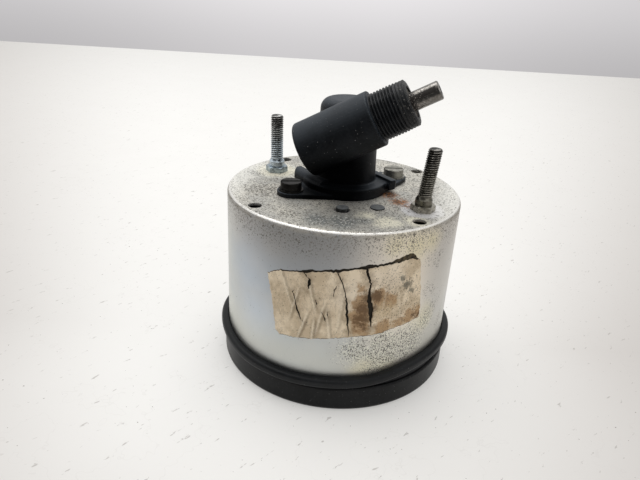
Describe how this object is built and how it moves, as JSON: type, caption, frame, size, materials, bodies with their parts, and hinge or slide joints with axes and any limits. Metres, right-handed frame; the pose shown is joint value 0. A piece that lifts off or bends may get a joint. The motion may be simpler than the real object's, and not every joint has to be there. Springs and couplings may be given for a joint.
{
  "type": "mechanical tachometer",
  "caption": "Cable-driven magnetic tachometer in a round steel can, with an inclined threaded right-angle drive on its back.",
  "frame": {"origin": "on the instrument's axis, in the front plane of the bezel", "axes": "+Z along the instrument's axis, from the dial towards the drive on the back; +X is the heading of the inclined drive barrel, seen along the axis"},
  "size_m": [0.0854, 0.0854, 0.1032],
  "materials": {
    "can_steel": "satin zinc plate, stained",
    "black_paint": "satin black",
    "rubber": "matte",
    "glass": "clear",
    "dial_black": "matte black",
    "black_steel": "blackened",
    "bright_steel": "ground",
    "cast_alloy": "as cast",
    "brass": "turned",
    "spring_bronze": "rolled",
    "zinc_steel": "zinc plate",
    "black_plastic": "moulded matte",
    "dull_steel": "dull, dirty",
    "peg_steel": "dark",
    "label_paper": "aged paper",
    "gear_plastic": "natural nylon",
    "magnet_alloy": "as cast",
    "aluminium_sheet": "drawn",
    "pointer_white": "satin white",
    "cap_black": "semi-gloss"
  },
  "bodies": {
    "case": {"rear_case": "can_steel", "bezel_ring": "black_paint", "rubber_ring": "rubber", "glass": "glass", "glass_seal": "rubber", "dial_ring": "black_paint", "dial_plate": "dial_black", "dial_screws": "black_steel", "stop_pins": "bright_steel", "movement_frame": "cast_alloy", "movement_bridge": "cast_alloy", "bridge_pillars": "brass", "staff_bush": "brass", "spindle_bush": "brass", "spring_post": "brass", "hairspring": "spring_bronze", "mounting_studs": "zinc_steel", "stud_nuts": "zinc_steel", "drive_housing": "black_plastic", "clamp_screws": "dull_steel", "clamp_washers": "dull_steel", "locating_pegs": "peg_steel", "barrel_plug": "black_plastic", "input_bush": "brass", "output_bush": "brass", "thrust_washers": "brass", "paper_label": "label_paper"},
    "input_drive": {"input_shaft": "bright_steel", "input_gear": "gear_plastic"},
    "rotor": {"output_shaft": "bright_steel", "output_gear": "gear_plastic", "magnet_spindle": "bright_steel", "magnet": "magnet_alloy", "field_cup": "zinc_steel"},
    "indicator": {"pointer_staff": "bright_steel", "drag_cup": "aluminium_sheet", "spring_collet": "brass", "pointer": "pointer_white", "pointer_cap": "cap_black"}
  },
  "joints": [
    {"name": "rotor_spin", "type": "hinge", "parent": "case", "child": "rotor", "pos_m": [0, 0, 0.085], "axis": [0, 0, 1], "continuous": true},
    {"name": "input_spin", "type": "hinge", "parent": "case", "child": "input_drive", "pos_m": [0, -0.013, 0.085], "axis": [0.8704, 0, 0.4924], "continuous": true},
    {"name": "pointer_swing", "type": "hinge", "parent": "case", "child": "indicator", "pos_m": [0, 0, 0.0061], "axis": [0, 0, 1], "range_deg": [0, 270], "stiffness_Nm_per_rad": 0.0001}
  ],
  "couplings": [
    {"joint": "input_spin", "follows": "rotor_spin", "ratio": -1}
  ]
}
